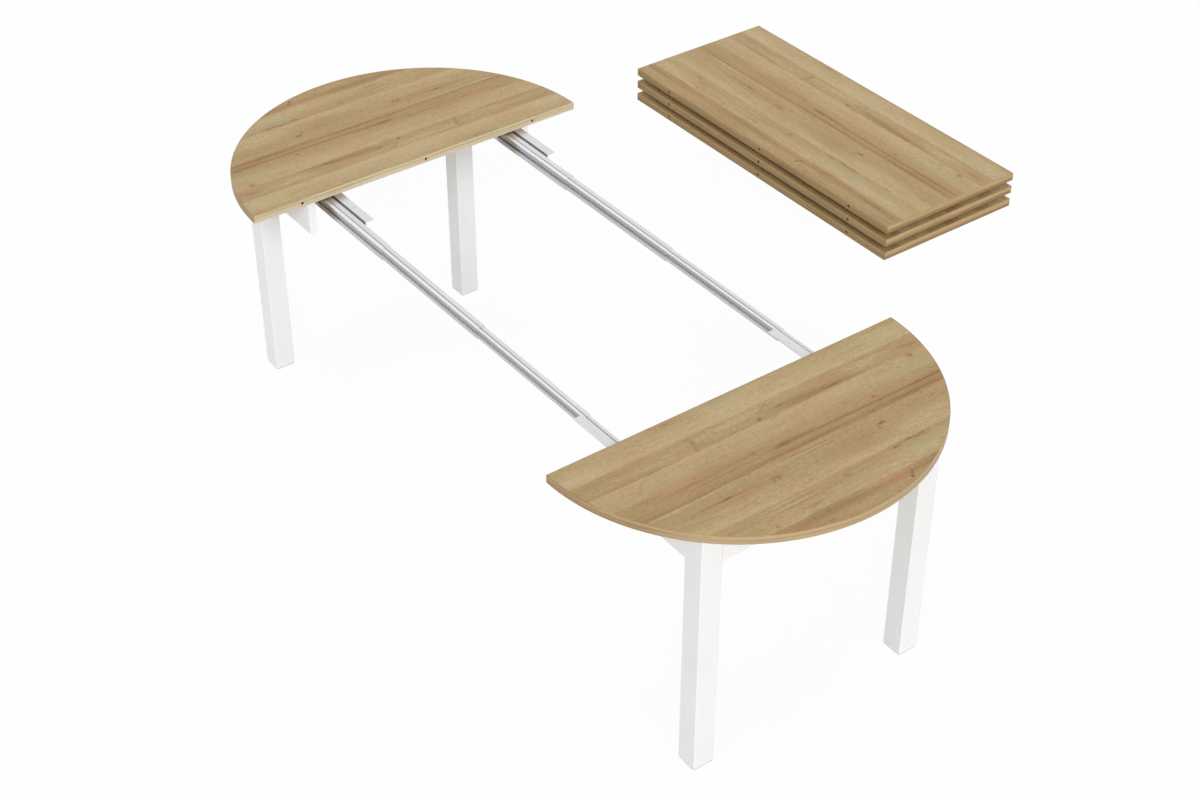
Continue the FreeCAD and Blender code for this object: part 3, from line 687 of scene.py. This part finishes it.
def barSurface(start, direction, radii, stations):
    # point = start + direction * station + radius of station and angle * unit circle;
    # both ends close in a point
    direction = Vector(direction).normalized()
    sideways = direction.orthogonal().normalized()
    upward = direction.cross(sideways)
    turned = np.array([sideways, upward, direction])
    rows, columns = radii.shape
    angles = np.linspace(0, 2 * math.pi, columns, endpoint=False)
    along = np.repeat(stations[:, None], columns, axis=1)
    rings = np.stack([radii * np.cos(angles), radii * np.sin(angles), along], axis=2)
    ends = np.array([[0, 0, stations[0]], [0, 0, stations[-1]]])
    points = np.concatenate([rings.reshape(-1, 3), ends]) @ turned + np.array(start)
    row, column = np.meshgrid(np.arange(rows - 1), np.arange(columns), indexing="ij")
    after = (column + 1) % columns
    quads = np.stack([row * columns + column, row * columns + after, (row + 1) * columns + after,
                      (row + 1) * columns + column], axis=2).reshape(-1, 4)
    around = np.arange(columns)
    follow = (around + 1) % columns
    base = np.stack([follow, around, np.full(columns, rows * columns)], axis=1)
    last = (rows - 1) * columns
    cap = np.stack([last + around, last + follow, np.full(columns, rows * columns + 1)], axis=1)
    return points, quads, np.concatenate([base, cap])


def bars(name, surfaces, material, body, node):
    points, faces, offset = [], [], 0
    for surface, quads, triangles in surfaces:
        points.append(surface)
        faces += (quads + offset).tolist() + (triangles + offset).tolist()
        offset += len(surface)
    mesh = bpy.data.meshes.new(name)
    mesh.from_pydata(np.concatenate(points).tolist(), [], faces)
    mesh.shade_smooth()
    mesh.set_sharp_from_angle(angle=sharpEdge)
    mesh.materials.append(material)
    piece = bpy.data.objects.new(name, mesh)
    bpy.context.scene.collection.objects.link(piece)
    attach(piece, body)
    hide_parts(node)


dowel = {
    "radius": 0.004,
    "chamfer": 0.0008,
    "flutes": 18,
    "fluteDepth": 0.00028,
    "smoothEnd": 2.2,                # the flutes start this many chamfers from an end
    "middleShift": 0.017,            # the middle peg stands this far past the centre of its row
    "wood": [(0.3, tone(206, 166, 120)), (0.55, tone(190, 148, 102)), (0.8, tone(156, 114, 74))],
    "along": 12.0,                   # scales of the grain, along and across the dowel
    "across": 700.0,
    "flecks": (0.7, 90.0),           # their scale: share of the grain's, and what is added
    "fleckFade": (0.6, 0.75, 0.0, 0.3),
    "gloss": (0.6, 0.1),
    "relief": 0.00008,
}


def beechFinish(name, axis):
    # straight grain along the dowel's axis, with short dark flecks
    material, sheet = newFinish(name)
    place = sheet.place()
    grain = [dowel["across"]] * 3
    grain[axis] = dowel["along"]
    share, added = dowel["flecks"]
    lines = sheet.noise(sheet.stretch(place, grain), 3.0, 0.6)
    flecks = sheet.noise(sheet.stretch(place, [step * share + added for step in grain]), 2.0, 0.8)
    gloss, spread = dowel["gloss"]
    sheet.shader({
        "Base Color": sheet.ramp(sheet.fade(flecks, *dowel["fleckFade"]) + lines, dowel["wood"]),
        "Roughness": (lines - 0.5) * spread + gloss,
        "Normal": sheet.bump(lines, 0.5, dowel["relief"]),
    })
    return material


def flutedPeg(start, direction, length):
    # radius = full radius, less the end chamfer, less grooves that follow the squared half cosine
    # of the angle times the number of flutes
    chamfer, full = dowel["chamfer"], dowel["radius"]
    smooth = chamfer * dowel["smoothEnd"]
    stations = np.array([0, chamfer, smooth, length - smooth, length - chamfer, length])
    profile = np.array([full - chamfer, full, full, full, full, full - chamfer])
    depth = np.array([0.0, 0.0, 1.0, 1.0, 0.0, 0.0]) * dowel["fluteDepth"]
    angles = np.linspace(0, 2 * math.pi, dowel["flutes"] * 6, endpoint=False)
    wave = (0.5 + 0.5 * np.cos(angles * dowel["flutes"])) ** 2
    return barSurface(start, direction, profile[:, None] - depth[:, None] * wave, stations)


def pegRow(name, node, body, axis, material):
    # three pegs in a row, the outer two at the ends of the node's box
    low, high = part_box(node)
    spread = 1 - axis
    full = dowel["radius"]
    first, last = low[spread] + full, high[spread] - full
    middle = (first + last) / 2 + dowel["middleShift"]
    surfaces = []
    for spot in (first, middle, last):
        start = Vector((0, 0, low.z + full))
        start[axis] = low[axis]
        start[spread] = spot
        direction = Vector((0, 0, 0))
        direction[axis] = 1
        surfaces.append(flutedPeg(start, direction, high[axis] - low[axis]))
    bars(name, surfaces, material, body, node)


pegRow("seamPegs", "near_seam_dowels", "near_half", 0, beechFinish("seamPegBeech", 0))
leafBeech = beechFinish("leafPegBeech", 1)
for number in (1, 2, 3):
    pegRow("leafPegs%d" % number, "leaf_%d_dowels" % number, "leaf_%d" % number, 1, leafBeech)
print("pegs fluted")


hangerBolt = {
    "radius": 0.004,
    "pitch": 0.00125,
    "threadDepth": 0.0006,
    "threadLength": 0.016,
    "columns": 28,
    "rowsPerPitch": 6,
}


def threadedBolt(start, direction, length):
    # radius = full radius less a triangle wave of station over pitch, turned on by the angle
    full, pitch = hangerBolt["radius"], hangerBolt["pitch"]
    threaded = hangerBolt["threadLength"]
    rows = int(threaded / pitch * hangerBolt["rowsPerPitch"])
    stations = np.concatenate([np.linspace(0, threaded, rows), [threaded + pitch, length]])
    columns = hangerBolt["columns"]
    turns = np.arange(columns) / columns
    wave = np.abs(2 * ((stations[:, None] / pitch + turns) % 1) - 1)
    depth = hangerBolt["threadDepth"] * np.where(stations < threaded, 1.0, 0.0)
    lead = np.clip(1 - stations / pitch, 0, 1) * hangerBolt["threadDepth"]
    return barSurface(start, direction, full - depth[:, None] * wave - lead[:, None], stations)


for half, side in (("far", -1), ("near", 1)):
    node = half + "_hanger_bolts"
    low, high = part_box(node)
    full = hangerBolt["radius"]
    edge = full / math.sqrt(2)
    inner, outer = (high.x, low.x) if half == "far" else (low.x, high.x)
    inner, outer = inner + side * edge, outer - side * edge
    surfaces = []
    for turn, bound in ((-1, low.y), (1, high.y)):
        end = Vector((outer, bound - turn * edge, low.z + full))
        start = Vector((inner, end.y - turn * abs(outer - inner), end.z))
        surfaces.append(threadedBolt(start, end - start, (end - start).length))
    bars(half + "BoltThreads", surfaces, hardwareZinc, half + "_half", node)
print("bolts threaded")


# floor, light and camera
studio = {
    "floorReach": 30.0,
    "floorPaint": tone(238, 238, 238),
    "floorGlow": 0.95,               # how far the floor's own white shows to the camera
    "ambient": 0.32,
    "lamps": {                       # where from, power, spread in degrees
        "keyLamp": ((0.0, 0.0, 1.0), 0.85, 40.0),
        "sideLamp": ((0.90, -0.10, 0.42), 0.80, 30.0),
        "frontLamp": ((0.20, -0.80, 0.56), 0.38, 30.0),
        "fillLamp": ((0.644, -0.474, 0.600), 1.2, 16.0),   # from the camera's side
    },
    "cameraPlace": (3.7003, -2.9006, 3.7404),
    "cameraTurn": (53.647, 37.048),
    "lens": 62.97,
}


def seenDirectly(sheet):  # 1 for rays from the camera, a mirror or glass
    path = sheet.node("LightPath", {}, {}).socket.node
    seen = Wire(sheet, path.outputs["Is Camera Ray"])
    for ray in ("Is Glossy Ray", "Is Transmission Ray"):
        seen = sheet.maths("MAXIMUM", seen, Wire(sheet, path.outputs[ray]))
    return seen


def makeFloor():
    reach = studio["floorReach"]
    corners = [(-reach, -reach, 0), (reach, -reach, 0), (reach, reach, 0), (-reach, reach, 0)]
    mesh = bpy.data.meshes.new("studioFloor")
    mesh.from_pydata(corners, [], [(0, 1, 2, 3)])
    floor = bpy.data.objects.new("studioFloor", mesh)
    bpy.context.scene.collection.objects.link(floor)
    material, sheet = newFinish("studioFloorPaint")
    matt = sheet.node("BsdfDiffuse", {}, {"Color": studio["floorPaint"]})
    glow = sheet.node("Emission", {}, {"Color": (1.0, 1.0, 1.0, 1.0), "Strength": 1.0})
    share = seenDirectly(sheet) * studio["floorGlow"]
    surface = sheet.node("MixShader", {}, {0: share, 1: matt, 2: glow})
    sheet.node("OutputMaterial", {}, {"Surface": surface})
    mesh.materials.append(material)


def makeLight():
    world = bpy.data.worlds.new("studioWorld")
    world.use_nodes = True
    bpy.context.scene.world = world
    sheet = NodeSheet(world.node_tree)
    soft = sheet.node("Background", {}, {"Color": (1.0, 1.0, 1.0, 1.0), "Strength": studio["ambient"]})
    white = sheet.node("Background", {}, {"Color": (1.0, 1.0, 1.0, 1.0), "Strength": 1.0})
    surface = sheet.node("MixShader", {}, {0: seenDirectly(sheet), 1: soft, 2: white})
    sheet.node("OutputWorld", {}, {"Surface": surface})
    for name, (comesFrom, power, spread) in studio["lamps"].items():
        light = bpy.data.lights.new(name, "SUN")
        light.energy = power
        light.angle = math.radians(spread)
        lamp = bpy.data.objects.new(name, light)
        lamp.rotation_mode = "QUATERNION"
        lamp.rotation_quaternion = (-Vector(comesFrom)).to_track_quat("-Z", "Y")
        bpy.context.scene.collection.objects.link(lamp)


def makeCamera():
    data = bpy.data.cameras.new("viewCamera")
    data.lens = studio["lens"]
    data.sensor_width = 36.0
    camera = bpy.data.objects.new("viewCamera", data)
    camera.location = studio["cameraPlace"]
    turn, tilt = (math.radians(angle) for angle in studio["cameraTurn"])
    ahead = Vector((-math.sin(turn) * math.cos(tilt), math.cos(turn) * math.cos(tilt), -math.sin(tilt)))
    camera.rotation_mode = "QUATERNION"
    camera.rotation_quaternion = ahead.to_track_quat("-Z", "Y")
    bpy.context.scene.collection.objects.link(camera)
    bpy.context.scene.camera = camera


makeFloor()
makeLight()
makeCamera()
bpy.context.scene.view_settings.view_transform = "Standard"
print("studio ready")
